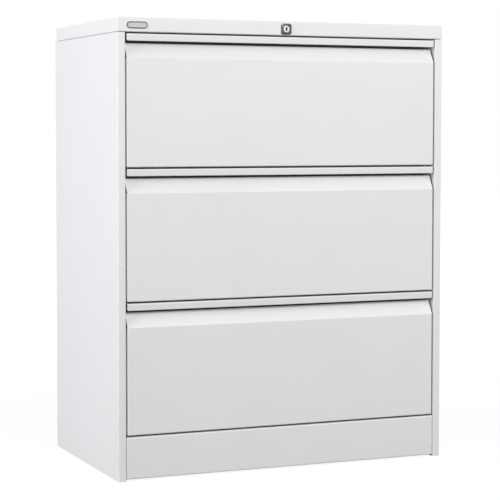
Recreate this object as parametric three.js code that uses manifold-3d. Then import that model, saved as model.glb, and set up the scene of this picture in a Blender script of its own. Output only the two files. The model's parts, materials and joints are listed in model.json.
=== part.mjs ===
// A steel lateral filing cabinet with three drawers, in millimetres, with +Z up and its front facing -Y.
// The origin is on the floor, in the middle of the cabinet's outline.
// Inside the main group, y is measured back from the front face and z up from the floor.
// Inside a drawer row's group, z is measured up from the drawer's bottom edge.
import * as THREE from "three";
import { mergeVertices } from "three/addons/utils/BufferGeometryUtils.js";
import Module from "manifold-3d";

// Driving dimensions
const WIDTH = 800;
const DEPTH = 470;
const HEIGHT = 1016;
const SHEET = 1;
const HEAVY_SHEET = 1.5;
const BEND = 2;
const BEND_STEPS = 3;
const TOUCH = 0.3;

// Front elevation
const CAP_HEIGHT = 31.5;
const CAP_SETBACK = 10;
const CAP_GAP = 3.5;
const STILE = 18.5;
const DRAWER_PITCH = 294.5;
const DRAWER_GAP = 4;
const DRAWER_SIDE_GAP = 3;
const LIP_HEIGHT = 15.5;
const LIP_CORNER = 4;
const LIP_HEM = 9;
const FRONT_DEPTH = 19;
const POCKET_DEPTH = 38;
const SLOPE_TOP = 270;
const SLOPE_FOOT = 238;
const PLINTH_LIFT = 5;
const PANEL_LIFT = 1;
const RAIL_DEPTH = 20;

// Lock and badge on the cap's front
const LOCK_PROUD = 3;
const LOCK_SQUARE = 24.5;
const LOCK_CORNER = 4;
const LOCK_BELOW_TOP = 17.2;
const BARREL_RADIUS = 9.5;
const BARREL_END = 22;
const PLUG_RADIUS = 7.3;
const PLUG_END = 26;
const BADGE_LENGTH = 47.5;
const BADGE_HEIGHT = 15;
const BADGE_THICKNESS = 1.2;
const BADGE_LEFT = -378;
const BADGE_BELOW_TOP = 16.5;

// Slides
const SLIDE_LENGTH = 400;
const SLIDE_START = 30;
const SLIDE_HEIGHT = 46;
const SLIDE_SHEET = 1.2;
const SLIDE_THICKNESS = 13.1;
const SLIDE_UP = 100;

// Tray and file rails
const TRAY_FLOOR = 12;
const TRAY_WALL_TOP = 246.5;
const TRAY_START = 23.8;
const TRAY_REAR = 426;
const FILE_RAIL_START = 32;
const FILE_RAIL_SPACING = 385;
const FILE_RAIL_TOP = 252;
const FILE_RAIL_HEIGHT = 15.7;
const FILE_RAIL_THICKNESS = 2;

// Locking gear
const CATCH_UP = 151.5;
const CATCH_LIP = 10.5;
const HOOK_CLEARANCE = 3;
const CRANK_RADIUS = 8.5;
const CRANK_PIN = 2.5;
const CRANK_Y = 438;
const LOCK_BAR_HALF = 15.5;
const LOCK_BAR_Y = 446.2;
const LOCK_BAR_SHEET = 2;
const ROD_RADIUS = 4;

// Base and levelling feet
const BASE_TOP = 89.75;
const BASE_FOOT = 14;
const BASE_LIP = 36;
const FOOT_X = 350;
const FOOT_Y = { front: 44, rear: 439 };
const FOOT_RADIUS = 16;

// Places that follow from the driving dimensions
const HALF = WIDTH / 2;
const FRONT = (LOCK_PROUD - DEPTH) / 2;
const CAP_BOTTOM = HEIGHT - CAP_HEIGHT;
const CAP_REAR = DEPTH - CAP_SETBACK;
const PANEL_TOP = CAP_BOTTOM - 2 * TOUCH;
const BACK_Y = CAP_REAR - SHEET / 2;
const OPENING = HALF - STILE;
const DRAWER_HALF = OPENING - DRAWER_SIDE_GAP;
const DRAWER_HEIGHT = DRAWER_PITCH - DRAWER_GAP;
const LIP_FOOT = DRAWER_HEIGHT - LIP_HEIGHT;
const RAIL_Y = POCKET_DEPTH + 3;
const STILE_RETURN = RAIL_Y + RAIL_DEPTH + SHEET;
const TRAY_HALF = OPENING - SLIDE_THICKNESS - TOUCH;
const LOCK_Z = HEIGHT - LOCK_BELOW_TOP;
const CRANK_PIN_OFF = CRANK_RADIUS * Math.SQRT1_2;
const CRANK_PIN_Z = LOCK_Z + CRANK_PIN_OFF;
const FILE_RAIL_Y = { front: FILE_RAIL_START, rear: FILE_RAIL_START + FILE_RAIL_SPACING };

const ROWS = ["top", "middle", "bottom"];
const ROW_TOPS = ROWS.map((_, row) => CAP_BOTTOM - CAP_GAP - row * DRAWER_PITCH);
const ROW_BOTTOMS = ROW_TOPS.map((top) => top - DRAWER_HEIGHT);
const PLINTH_TOP = Math.min(...ROW_BOTTOMS) - DRAWER_GAP;
const SIDES = { left: -1, right: 1 };

// Finishes
const PAINT = { color: 0xe4e6e6, roughness: 0.45, metalness: 0 };
const ZINC = { color: 0xb4b8bb, roughness: 0.35, metalness: 1 };
const NICKEL = { color: 0xd6d4d2, roughness: 0.15, metalness: 1 };
const DARK_CHROME = { color: 0x4a474a, roughness: 0.25, metalness: 1 };
const SATIN = { color: 0xc9c9c7, roughness: 0.35, metalness: 1 };
const BLACK = { color: 0x232324, roughness: 0.6, metalness: 0 };

const wasm = await Module();
wasm.setup();

// A closed geometry as a solid, with its shared vertices merged.
function solid(geometry) {
  const bare = geometry.clone();
  bare.deleteAttribute("normal");
  bare.deleteAttribute("uv");
  const merged = mergeVertices(bare);
  const vertProperties = merged.attributes.position.array;
  const triVerts = Uint32Array.from(merged.index.array);
  return new wasm.Manifold(new wasm.Mesh({ numProp: 3, vertProperties, triVerts }));
}

// A solid as a flat-shaded geometry.
function geometryOf(body) {
  const { vertProperties, triVerts } = body.getMesh();
  const geometry = new THREE.BufferGeometry();
  geometry.setAttribute("position", new THREE.BufferAttribute(vertProperties, 3));
  geometry.setIndex(new THREE.BufferAttribute(triVerts, 1));
  const flat = geometry.toNonIndexed();
  flat.computeVertexNormals();
  return flat;
}

function join(first, ...others) {
  return geometryOf(others.reduce((sum, next) => sum.add(solid(next)), solid(first)));
}

function cut(first, ...cutters) {
  return geometryOf(cutters.reduce((rest, next) => rest.subtract(solid(next)), solid(first)));
}

function block([x0, x1], [y0, y1], [z0, z1]) {
  const box = new THREE.BoxGeometry(x1 - x0, y1 - y0, z1 - z0);
  return box.translate((x0 + x1) / 2, (y0 + y1) / 2, (z0 + z1) / 2);
}

// The same block on both sides of the cabinet, from one distance off its middle to another.
function blockPair([inner, outer], ySpan, zSpan) {
  return [block([-outer, -inner], ySpan, zSpan), block([inner, outer], ySpan, zSpan)];
}

const AXIS_X = new THREE.Vector3(1, 0, 0);
const AXIS_Y = new THREE.Vector3(0, 1, 0);
const AXIS_Z = new THREE.Vector3(0, 0, 1);

function extrude(shape, length) {
  return new THREE.ExtrudeGeometry(shape, { depth: length, bevelEnabled: false });
}

// A section drawn in y and z, extruded from x0 to x1.
function alongX(shape, [x0, x1]) {
  const turn = new THREE.Matrix4().makeBasis(AXIS_Y, AXIS_Z, AXIS_X);
  return extrude(shape, x1 - x0).applyMatrix4(turn).translate(x0, 0, 0);
}

// A section drawn in x and z, extruded from y0 to y1.
function alongY(shape, [y0, y1]) {
  const turn = new THREE.Matrix4().makeBasis(AXIS_X, AXIS_Z, AXIS_Y.clone().negate());
  return extrude(shape, y1 - y0).applyMatrix4(turn).translate(0, y1, 0);
}

// A section drawn in x and y, extruded from z0 to z1.
function alongZ(shape, [z0, z1]) {
  return extrude(shape, z1 - z0).translate(0, 0, z0);
}

// A round bar along y, centred on a point in x and z.
// With few sides it is a prism, and turn says where its corners are.
function roundY(radius, [y0, y1], [x, z], sides = 24, turn = 0) {
  const bar = new THREE.CylinderGeometry(radius, radius, y1 - y0, sides).rotateY(turn);
  return bar.translate(x, (y0 + y1) / 2, z);
}

// A round bar along z, centred on a point in x and y.
function roundZ(radius, [z0, z1], [x, y], sides = 24) {
  const bar = new THREE.CylinderGeometry(radius, radius, z1 - z0, sides).rotateX(Math.PI / 2);
  return bar.translate(x, y, (z0 + z1) / 2);
}

// The centre line of a folded sheet: straight runs with a round bend at each corner.
// A bend is made tighter where the runs beside it are short.
// Each entry has a point and the direction square to the sheet there.
function bentLine(corners, radius) {
  const points = corners.map(([a, b]) => new THREE.Vector2(a, b));
  const square = (direction) => new THREE.Vector2(-direction.y, direction.x);
  const run = (i) => points[i + 1].clone().sub(points[i]);
  const line = [{ at: points[0], normal: square(run(0).normalize()) }];
  for (let i = 1; i < points.length - 1; i += 1) {
    const room = 0.49 * Math.min(run(i - 1).length(), run(i).length());
    const before = run(i - 1).normalize();
    const after = run(i).normalize();
    const turn = Math.atan2(before.cross(after), before.dot(after));
    const halfTan = Math.tan(Math.abs(turn) / 2);
    const bend = Math.min(radius, room / halfTan);
    const steps = Math.max(1, Math.round((Math.abs(turn) / (Math.PI / 2)) * BEND_STEPS));
    const start = points[i].clone().addScaledVector(before, -bend * halfTan);
    const centre = start.clone().addScaledVector(square(before), Math.sign(turn) * bend);
    for (let step = 0; step <= steps; step += 1) {
      const angle = (turn * step) / steps;
      const at = start.clone().rotateAround(centre, angle);
      line.push({ at, normal: square(before).rotateAround(new THREE.Vector2(), angle) });
    }
  }
  const last = points.length - 1;
  line.push({ at: points[last], normal: square(run(last - 1).normalize()) });
  return line;
}

// The outline of a folded sheet, half its thickness to each side of the centre line.
function foldedSheet(corners, thickness = SHEET, radius = BEND) {
  const line = bentLine(corners, radius);
  const face = (offset) => line.map(({ at, normal }) => at.clone().addScaledVector(normal, offset));
  return new THREE.Shape([...face(thickness / 2), ...face(-thickness / 2).reverse()]);
}

function mirrored(corners, side) {
  return corners.map(([a, b]) => [side * a, b]);
}

// A run of corners and its mirror image, for a section that is the same on both sides of x = 0.
function bothSides(corners) {
  return [...corners, ...mirrored(corners, -1).reverse()];
}

function roundedRectangle([x0, x1], [y0, y1], radius, steps = BEND_STEPS) {
  const right = x1 - radius;
  const left = x0 + radius;
  const high = y1 - radius;
  const low = y0 + radius;
  const points = [];
  [[right, high], [left, high], [left, low], [right, low]].forEach(([x, y], quarter) => {
    for (let step = 0; step <= steps; step += 1) {
      const angle = (quarter + step / steps) * (Math.PI / 2);
      points.push(new THREE.Vector2(x + radius * Math.cos(angle), y + radius * Math.sin(angle)));
    }
  });
  return new THREE.Shape(points);
}

// Side panel: one sheet folded into a rear flange, the side, the front stile and the stile's deep return.
function sidePanel(side) {
  const middle = SHEET / 2;
  const rearFlange = 16;
  const stileLip = 10;
  const topFlange = 15;
  const plan = [
    [HALF - rearFlange, DEPTH - middle],
    [HALF - middle, DEPTH - middle],
    [HALF - middle, middle],
    [OPENING + middle, middle],
    [OPENING + middle, STILE_RETURN],
    [OPENING + stileLip, STILE_RETURN],
  ];
  const wall = alongZ(foldedSheet(mirrored(plan, side)), [PANEL_LIFT, PANEL_TOP]);
  const flangeX = [side * (HALF - topFlange), side * (HALF - middle)].sort((a, b) => a - b);
  const flange = block(flangeX, [SHEET, BACK_Y - SHEET], [PANEL_TOP - SHEET, PANEL_TOP]);
  return join(wall, flange);
}

// Top cap: a shallow lid with turned-in edges, whose front edge also turns down behind the top drawer's lip.
function topCap() {
  const middle = SHEET / 2;
  const rearReturn = 10;
  const sideReturn = 14;
  const dropFoot = CAP_BOTTOM - CAP_GAP - LIP_HEIGHT;
  const section = [
    [RAIL_Y, dropFoot],
    [RAIL_Y, CAP_BOTTOM + middle],
    [middle, CAP_BOTTOM + middle],
    [middle, HEIGHT - middle],
    [CAP_REAR - middle, HEIGHT - middle],
    [CAP_REAR - middle, CAP_BOTTOM + middle],
    [CAP_REAR - rearReturn, CAP_BOTTOM + middle],
  ];
  const lid = alongX(foldedSheet(section), [middle - HALF, HALF - middle]);
  const end = roundedRectangle([0, CAP_REAR], [CAP_BOTTOM, HEIGHT], BEND + middle);
  const ends = [alongX(end, [-HALF, SHEET - HALF]), alongX(end, [HALF - SHEET, HALF])];
  const returnSpan = [CAP_BOTTOM, CAP_BOTTOM + SHEET];
  const sideReturns = blockPair([HALF - sideReturn, HALF - middle], [BEND, CAP_REAR - BEND], returnSpan);
  const dropX = [OPENING - TOUCH, HALF + SHEET];
  const dropEnds = blockPair(dropX, [RAIL_Y - BEND, RAIL_Y + BEND], [dropFoot - BEND, CAP_BOTTOM]);
  const lockHole = roundY(BARREL_RADIUS + TOUCH, [-SHEET, 2 * SHEET], [0, LOCK_Z], 32);
  return cut(join(lid, ...ends, ...sideReturns), ...dropEnds, lockHole);
}

// Back panel: a flat sheet with two stiffening beads, its edges turned back along the side panels.
function backPanel() {
  const edge = HALF - 2 * SHEET;
  const edgeEnd = DEPTH - SHEET - 2 * TOUCH;
  const beadX = 190;
  const beadTop = 10;
  const beadFoot = 15;
  const beadDepth = 4;
  const plan = [
    [edge, edgeEnd],
    [edge, BACK_Y],
    [beadX + beadFoot, BACK_Y],
    [beadX + beadTop, BACK_Y + beadDepth],
    [beadX - beadTop, BACK_Y + beadDepth],
    [beadX - beadFoot, BACK_Y],
  ];
  return alongZ(foldedSheet(bothSides(plan)), [BASE_FOOT, PANEL_TOP - TOUCH]);
}

// Base pan: an inverted tray whose front and rear lips carry the levelling feet, notched round the stiles.
function basePan() {
  const middle = HEAVY_SHEET / 2;
  const front = 26;
  const rear = BACK_Y - 2.5;
  const edge = HALF - HEAVY_SHEET;
  const lipZ = BASE_FOOT + middle;
  const section = [
    [front + BASE_LIP, lipZ],
    [front, lipZ],
    [front, BASE_TOP - middle],
    [rear, BASE_TOP - middle],
    [rear, lipZ],
    [rear - BASE_LIP, lipZ],
  ];
  const pan = alongX(foldedSheet(section, HEAVY_SHEET), [middle - edge, edge - middle]);
  const wallSpan = [BASE_FOOT, BASE_TOP - middle];
  const walls = blockPair([edge - HEAVY_SHEET, edge], [front + middle, rear - middle], wallSpan);
  const notches = blockPair([OPENING - 2 * TOUCH, HALF], [front - BEND, STILE_RETURN + BEND], [0, HEIGHT]);
  const studHoles = [];
  for (const y of Object.values(FOOT_Y)) {
    for (const side of Object.values(SIDES)) {
      studHoles.push(roundZ(ROD_RADIUS + TOUCH, [0, 2 * BASE_FOOT], [side * FOOT_X, y]));
    }
  }
  return cut(join(pan, ...walls), ...notches, ...studHoles);
}

// Plinth: the kick panel between the stiles under the bottom drawer, with all its edges turned in.
function plinth() {
  const middle = SHEET / 2;
  const footReturn = 16;
  const topReturn = 22;
  const topDrop = 17;
  const section = [
    [footReturn, PLINTH_LIFT + middle],
    [middle, PLINTH_LIFT + middle],
    [middle, PLINTH_TOP - middle],
    [topReturn, PLINTH_TOP - middle],
    [topReturn, PLINTH_TOP - topDrop],
  ];
  const reach = OPENING - 2 * TOUCH;
  const skin = alongX(foldedSheet(section), [-reach, reach]);
  const endSpan = [PLINTH_LIFT + middle, PLINTH_TOP - middle];
  const ends = blockPair([reach - SHEET, reach], [middle, footReturn], endSpan);
  return join(skin, ...ends);
}

// Cross rail: a channel between the stiles, hidden behind the lip of the drawer below it.
function crossRail(lipTop) {
  const low = lipTop - 18;
  const high = lipTop + 10;
  const rear = RAIL_Y + RAIL_DEPTH;
  const section = [[rear, low], [RAIL_Y, low], [RAIL_Y, high], [rear, high]];
  const reach = OPENING - TOUCH;
  return alongX(foldedSheet(section), [-reach, reach]);
}

// Upright: a hat-shaped post on the side panel that carries the rear ends of the slides.
function upright(side) {
  const foot = HALF - SHEET - HEAVY_SHEET / 2 - TOUCH;
  const face = OPENING + HEAVY_SHEET / 2;
  const start = 326;
  const flange = 20;
  const width = 50;
  const near = start + flange;
  const far = near + width;
  const plan = [[foot, start], [foot, near], [face, near], [face, far], [foot, far], [foot, far + flange]];
  const span = [BASE_TOP + 6, PANEL_TOP - 6];
  return alongZ(foldedSheet(mirrored(plan, side), HEAVY_SHEET), span);
}

// A slide member. Its section is drawn as distance in from the stile and height over the slide's middle.
function slideMember(side, section) {
  const corners = section.map(([inward, up]) => [side * (OPENING - inward), up]);
  return alongY(foldedSheet(corners, SLIDE_SHEET, SLIDE_SHEET), [SLIDE_START, SLIDE_START + SLIDE_LENGTH]);
}

// Outer member: a channel on the stile and the upright, with lips that hold the ball rows.
function outerSlide(side) {
  const web = TOUCH + SLIDE_SHEET / 2;
  const lip = web + 10;
  const flange = (SLIDE_HEIGHT - SLIDE_SHEET) / 2;
  const lipEnd = flange - 4.4;
  const upper = [[lip, lipEnd], [lip, flange], [web, flange]];
  const lower = upper.map(([inward, up]) => [inward, -up]).reverse();
  return slideMember(side, [...upper, ...lower]);
}

// Middle member: a smaller channel that runs out half as far as the drawer.
function middleSlide(side) {
  const web = 3;
  const edge = 9;
  const flange = 16.2;
  return slideMember(side, [[edge, flange], [web, flange], [web, -flange], [edge, -flange]]);
}

// Inner member: the channel on the tray's wall.
function innerSlide(side) {
  const web = SLIDE_THICKNESS - SLIDE_SHEET / 2;
  const edge = 5.2;
  const flange = 13.8;
  return slideMember(side, [[edge, flange], [web, flange], [web, -flange], [edge, -flange]]);
}

// Drawer front: one sheet folded into the pull's hemmed lip, its pocket, the slope, the face and the foot.
function drawerFront() {
  const middle = SHEET / 2;
  const hem = 2.1;
  const pocketWall = POCKET_DEPTH - middle;
  const wall = FRONT_DEPTH - middle;
  const footLip = 14;
  const sideReturn = 16;
  const section = [
    [hem, LIP_FOOT + LIP_HEM],
    [hem, LIP_FOOT + middle],
    [middle, LIP_FOOT + middle],
    [middle, DRAWER_HEIGHT - middle],
    [pocketWall, DRAWER_HEIGHT - middle],
    [pocketWall, SLOPE_TOP],
    [wall, SLOPE_TOP],
    [middle, SLOPE_FOOT],
    [middle, middle],
    [wall, middle],
    [wall, footLip],
  ];
  const skin = alongX(foldedSheet(section), [-DRAWER_HALF, DRAWER_HALF]);
  const returnSpan = [middle, SLOPE_FOOT - BEND];
  const returns = blockPair([DRAWER_HALF - SHEET, DRAWER_HALF], [middle, sideReturn], returnSpan);
  const cornerX = DRAWER_HALF - LIP_CORNER;
  const cornerZ = LIP_FOOT + LIP_CORNER;
  const squares = blockPair([cornerX, DRAWER_HALF + SHEET], [-SHEET, 4 * SHEET], [LIP_FOOT - SHEET, cornerZ]);
  const corners = squares.map((square, i) => {
    const side = Object.values(SIDES)[i];
    return cut(square, roundY(LIP_CORNER, [-2 * SHEET, 5 * SHEET], [side * cornerX, cornerZ], 32));
  });
  return cut(join(skin, ...returns), ...corners);
}

// Liner: the pan that closes the back of the drawer front, up to the pull's pocket.
function drawerLiner() {
  const face = FRONT_DEPTH + 4;
  const edge = FRONT_DEPTH + TOUCH;
  const top = SLOPE_TOP - SHEET - 2 * TOUCH;
  const foot = 8;
  const reach = DRAWER_HALF - 2.5;
  return alongX(foldedSheet([[edge, top], [face, top], [face, foot], [edge, foot]]), [-reach, reach]);
}

// Tray: floor and walls folded from one sheet, with a rear wall, front flanges and slots for the file rails.
function drawerTray() {
  const middle = SHEET / 2;
  const wall = TRAY_HALF - middle;
  const sideHem = 10;
  const rearHem = 8;
  const frontFlange = 12;
  const section = bothSides([
    [sideHem - wall, TRAY_WALL_TOP - middle],
    [-wall, TRAY_WALL_TOP - middle],
    [-wall, TRAY_FLOOR + middle],
  ]);
  const wallSpan = [TRAY_FLOOR + middle, TRAY_WALL_TOP - middle];
  const tray = join(
    alongY(foldedSheet(section), [TRAY_START, TRAY_REAR]),
    block([-wall, wall], [TRAY_REAR - SHEET, TRAY_REAR], wallSpan),
    block([-wall, wall], [TRAY_REAR - middle, TRAY_REAR + rearHem], [TRAY_WALL_TOP - SHEET, TRAY_WALL_TOP]),
    ...blockPair([wall - frontFlange, wall], [TRAY_START, TRAY_START + SHEET], wallSpan),
  );
  const slotHalf = FILE_RAIL_THICKNESS / 2 + TOUCH;
  const slotFloor = FILE_RAIL_TOP - FILE_RAIL_HEIGHT - TOUCH;
  const slots = Object.values(FILE_RAIL_Y).map((y) =>
    block([-HALF, HALF], [y - slotHalf, y + slotHalf], [slotFloor, TRAY_WALL_TOP + SHEET]));
  return cut(tray, ...slots);
}

// File rail: a flat bar on edge across the tray, for the hooks of hanging files.
function fileRail(y) {
  const reach = TRAY_HALF - SHEET;
  const half = FILE_RAIL_THICKNESS / 2;
  return block([-reach, reach], [y - half, y + half], [FILE_RAIL_TOP - FILE_RAIL_HEIGHT, FILE_RAIL_TOP]);
}

// Catch: the bracket on the tray's rear wall whose raised lip the lock bar's hook drops behind.
function lockCatch() {
  const middle = HEAVY_SHEET / 2;
  const near = TRAY_REAR + TOUCH + middle;
  const far = near + 11.2;
  const plateHeight = 21;
  const halfWidth = 14;
  const section = [
    [near, CATCH_UP - plateHeight],
    [near, CATCH_UP - middle],
    [far, CATCH_UP - middle],
    [far, CATCH_UP + CATCH_LIP],
  ];
  return alongX(foldedSheet(section, HEAVY_SHEET), [-halfWidth, halfWidth]);
}

// Lock body: a square bezel with a round barrel through the cap's front.
function lockBody() {
  const half = LOCK_SQUARE / 2;
  const bezel = roundedRectangle([-half, half], [LOCK_Z - half, LOCK_Z + half], LOCK_CORNER);
  const barrel = roundY(BARREL_RADIUS, [-LOCK_PROUD / 2, BARREL_END], [0, LOCK_Z], 32);
  const bore = roundY(PLUG_RADIUS + TOUCH, [-2 * LOCK_PROUD, BARREL_END + 1], [0, LOCK_Z], 32);
  return cut(join(alongY(bezel, [-LOCK_PROUD, -TOUCH]), barrel), bore);
}

// Lock plug: the turning core, with its key slot.
function lockPlug() {
  const face = 0.4 - LOCK_PROUD;
  const slotHalfWidth = 1.1;
  const slotHalfHeight = 4;
  const slotEnd = 10;
  const plug = roundY(PLUG_RADIUS, [face, PLUG_END], [0, LOCK_Z], 32);
  const slotHeight = [LOCK_Z - slotHalfHeight, LOCK_Z + slotHalfHeight];
  return cut(plug, block([-slotHalfWidth, slotHalfWidth], [face - 1, slotEnd], slotHeight));
}

// Lock nut: the hexagon that clamps the barrel from inside the cap, with a flat side down.
function lockNut() {
  const acrossFlats = 22;
  const thickness = 4;
  const near = SHEET + TOUCH;
  const hexagon = roundY(acrossFlats / Math.sqrt(3), [near, near + thickness], [0, LOCK_Z], 6, Math.PI / 6);
  return cut(hexagon, roundY(BARREL_RADIUS + TOUCH, [0, near + 2 * thickness], [0, LOCK_Z], 32));
}

// Lock rod: carries the plug's turn to the rear, where the pin on its crank moves the lock bar.
function lockRod() {
  const crankThickness = 3;
  const crankRim = 2;
  const pinEnd = LOCK_BAR_Y + LOCK_BAR_SHEET + 4;
  return join(
    roundY(ROD_RADIUS, [PLUG_END + TOUCH, CRANK_Y + 1], [0, LOCK_Z], 16),
    roundY(CRANK_RADIUS + CRANK_PIN + crankRim, [CRANK_Y, CRANK_Y + crankThickness], [0, LOCK_Z]),
    roundY(CRANK_PIN, [CRANK_Y + 1, pinEnd], [CRANK_PIN_OFF, CRANK_PIN_Z], 16),
  );
}

// Rod bracket: hangs from the cap's underside and steadies the rod's rear end.
function rodBracket() {
  const middle = HEAVY_SHEET / 2;
  const y = CRANK_Y - 10;
  const flange = 20;
  const halfWidth = 22;
  const top = HEIGHT - SHEET - TOUCH - middle;
  const section = [[y, CAP_BOTTOM + 3], [y, top], [y - flange, top]];
  const plate = alongX(foldedSheet(section, HEAVY_SHEET), [-halfWidth, halfWidth]);
  return cut(plate, roundY(ROD_RADIUS + TOUCH, [y - BEND, y + BEND], [0, LOCK_Z]));
}

// Lock bar: a flat bar in the rear channel, with a hook for each drawer's catch and a slot for the crank pin.
function lockBar() {
  const middle = LOCK_BAR_SHEET / 2;
  const prong = TRAY_REAR + 5.5;
  const prongLength = 12;
  const hookHalf = 11.5;
  const pinRim = 3;
  const lowest = Math.min(...ROW_BOTTOMS) + CATCH_UP + CATCH_LIP + HOOK_CLEARANCE + 1;
  const barX = [-LOCK_BAR_HALF, LOCK_BAR_HALF];
  const barY = [LOCK_BAR_Y, LOCK_BAR_Y + LOCK_BAR_SHEET];
  const bar = block(barX, barY, [lowest, CRANK_PIN_Z + CRANK_PIN + pinRim]);
  const hooks = ROW_BOTTOMS.map((bottom) => {
    const tip = bottom + CATCH_UP + CATCH_LIP + HOOK_CLEARANCE;
    const arm = tip + prongLength;
    const section = [[LOCK_BAR_Y + middle, arm], [prong, arm], [prong, tip]];
    return alongX(foldedSheet(section, LOCK_BAR_SHEET), [-hookHalf, hookHalf]);
  });
  const slotHalf = CRANK_PIN + 0.5;
  const slotX = [CRANK_PIN_OFF - slotHalf, CRANK_RADIUS + slotHalf];
  const slotY = [LOCK_BAR_Y - 1, LOCK_BAR_Y + LOCK_BAR_SHEET + 1];
  const slot = block(slotX, slotY, [CRANK_PIN_Z - slotHalf, CRANK_PIN_Z + slotHalf]);
  return cut(join(bar, ...hooks), slot);
}

// Lock channel: the guide on the back panel that the lock bar slides in.
function lockChannel() {
  const wall = LOCK_BAR_HALF + 2.1;
  const lip = LOCK_BAR_HALF - 2.5;
  const lipY = LOCK_BAR_Y - 1.1;
  const webY = BACK_Y - 1.6;
  const span = [130, PANEL_TOP - 14];
  return alongZ(foldedSheet(bothSides([[lip, lipY], [wall, lipY], [wall, webY]]), SLIDE_SHEET), span);
}

// Badge: a plain capsule-shaped plate.
function badge() {
  const z = HEIGHT - BADGE_BELOW_TOP;
  const half = BADGE_HEIGHT / 2;
  const xSpan = [BADGE_LEFT, BADGE_LEFT + BADGE_LENGTH];
  const capsule = roundedRectangle(xSpan, [z - half, z + half], half - 0.01, 8);
  return alongY(capsule, [-TOUCH - BADGE_THICKNESS, -TOUCH]);
}

// Levelling foot: a round pad with a hexagon and a stud through the base pan's lip.
function levellingFoot(x, y) {
  const padTop = 6;
  const hexagonTop = BASE_FOOT - 2;
  const hexagonCorner = 7.5;
  const studTop = 70;
  return join(
    roundZ(FOOT_RADIUS, [0, padTop], [x, y]),
    roundZ(hexagonCorner, [padTop - 1, hexagonTop], [x, y], 6),
    roundZ(ROD_RADIUS, [hexagonTop - 1, studTop], [x, y], 16),
  );
}

const cabinet = new THREE.Group();
cabinet.position.y = FRONT;

function addMesh(group, name, geometry, finish) {
  const mesh = new THREE.Mesh(geometry, new THREE.MeshStandardMaterial(finish));
  mesh.name = name;
  group.add(mesh);
  return mesh;
}

// Carcass
for (const [hand, side] of Object.entries(SIDES)) {
  addMesh(cabinet, `${hand}_side_panel`, sidePanel(side), PAINT);
  addMesh(cabinet, `${hand}_upright`, upright(side), PAINT);
}
addMesh(cabinet, "top_cap", topCap(), PAINT);
addMesh(cabinet, "back_panel", backPanel(), PAINT);
addMesh(cabinet, "base_pan", basePan(), PAINT);
addMesh(cabinet, "plinth", plinth(), PAINT);
addMesh(cabinet, "upper_cross_rail", crossRail(ROW_TOPS[1]), PAINT);
addMesh(cabinet, "lower_cross_rail", crossRail(ROW_TOPS[2]), PAINT);

// Each drawer with its slides
ROWS.forEach((place, row) => {
  const level = new THREE.Group();
  level.position.z = ROW_BOTTOMS[row];
  cabinet.add(level);
  addMesh(level, `${place}_drawer_front`, drawerFront(), PAINT);
  addMesh(level, `${place}_drawer_liner`, drawerLiner(), PAINT);
  addMesh(level, `${place}_drawer_tray`, drawerTray(), PAINT);
  addMesh(level, `${place}_drawer_lock_catch`, lockCatch(), ZINC);
  for (const [end, y] of Object.entries(FILE_RAIL_Y)) {
    addMesh(level, `${place}_drawer_file_rail_${end}`, fileRail(y), ZINC);
  }
  for (const [hand, side] of Object.entries(SIDES)) {
    const members = { outer: outerSlide(side), middle: middleSlide(side), inner: innerSlide(side) };
    for (const [member, geometry] of Object.entries(members)) {
      addMesh(level, `${place}_slide_${member}_${hand}`, geometry, ZINC).position.z = SLIDE_UP;
    }
  }
});

// Lock, locking gear and badge
addMesh(cabinet, "lock_body", lockBody(), DARK_CHROME);
addMesh(cabinet, "lock_plug", lockPlug(), NICKEL);
addMesh(cabinet, "lock_nut", lockNut(), ZINC);
addMesh(cabinet, "lock_rod", lockRod(), ZINC);
addMesh(cabinet, "lock_rod_bracket", rodBracket(), ZINC);
addMesh(cabinet, "lock_bar", lockBar(), ZINC);
addMesh(cabinet, "lock_bar_channel", lockChannel(), ZINC);
addMesh(cabinet, "badge_plate", badge(), SATIN);

// Levelling feet
for (const [end, y] of Object.entries(FOOT_Y)) {
  for (const [hand, side] of Object.entries(SIDES)) {
    addMesh(cabinet, `foot_${end}_${hand}`, levellingFoot(side * FOOT_X, y), BLACK);
  }
}

const model = new THREE.Group();
model.add(cabinet);

export default model;
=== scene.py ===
# %% [markdown]
# # A white steel side filer, dressed piece by piece
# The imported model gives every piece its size, its place and the body that it moves with. This lesson
# builds the looks around it: folded sheets with round bends, a lock, a badge, slides and feet. Each step
# says what the piece is on the real cabinet, how it could be made, and why it is made this way.

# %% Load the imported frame
import json
import math

import bmesh
import bpy
from mathutils import Matrix, Vector


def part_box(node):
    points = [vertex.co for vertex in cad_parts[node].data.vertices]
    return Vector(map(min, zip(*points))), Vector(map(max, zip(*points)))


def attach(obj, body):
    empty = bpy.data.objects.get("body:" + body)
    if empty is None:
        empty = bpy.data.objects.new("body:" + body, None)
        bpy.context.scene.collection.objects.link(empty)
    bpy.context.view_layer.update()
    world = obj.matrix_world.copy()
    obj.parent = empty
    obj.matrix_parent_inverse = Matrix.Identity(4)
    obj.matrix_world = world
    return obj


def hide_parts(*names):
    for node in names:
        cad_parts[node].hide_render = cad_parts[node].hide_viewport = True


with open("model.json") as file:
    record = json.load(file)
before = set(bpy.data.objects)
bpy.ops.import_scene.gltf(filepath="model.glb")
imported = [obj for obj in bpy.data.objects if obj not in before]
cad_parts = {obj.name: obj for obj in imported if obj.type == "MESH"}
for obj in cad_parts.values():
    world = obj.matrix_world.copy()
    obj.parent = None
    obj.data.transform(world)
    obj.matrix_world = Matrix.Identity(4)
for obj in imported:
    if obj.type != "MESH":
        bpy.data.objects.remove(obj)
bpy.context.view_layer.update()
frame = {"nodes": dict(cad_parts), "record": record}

# %% [markdown]
# ## Measuring in millimetres
# Sheet metal is drawn in millimetres, while Blender's frame is in metres. All sizes below are
# millimetres from one corner of reference: the middle of the cabinet on the floor, in the plane of its
# front. `measure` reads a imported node's box in those units.

# %% Units and the corner of reference
MM = 0.001
front_foot = Vector((0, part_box("plinth")[0].y, 0))


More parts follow.
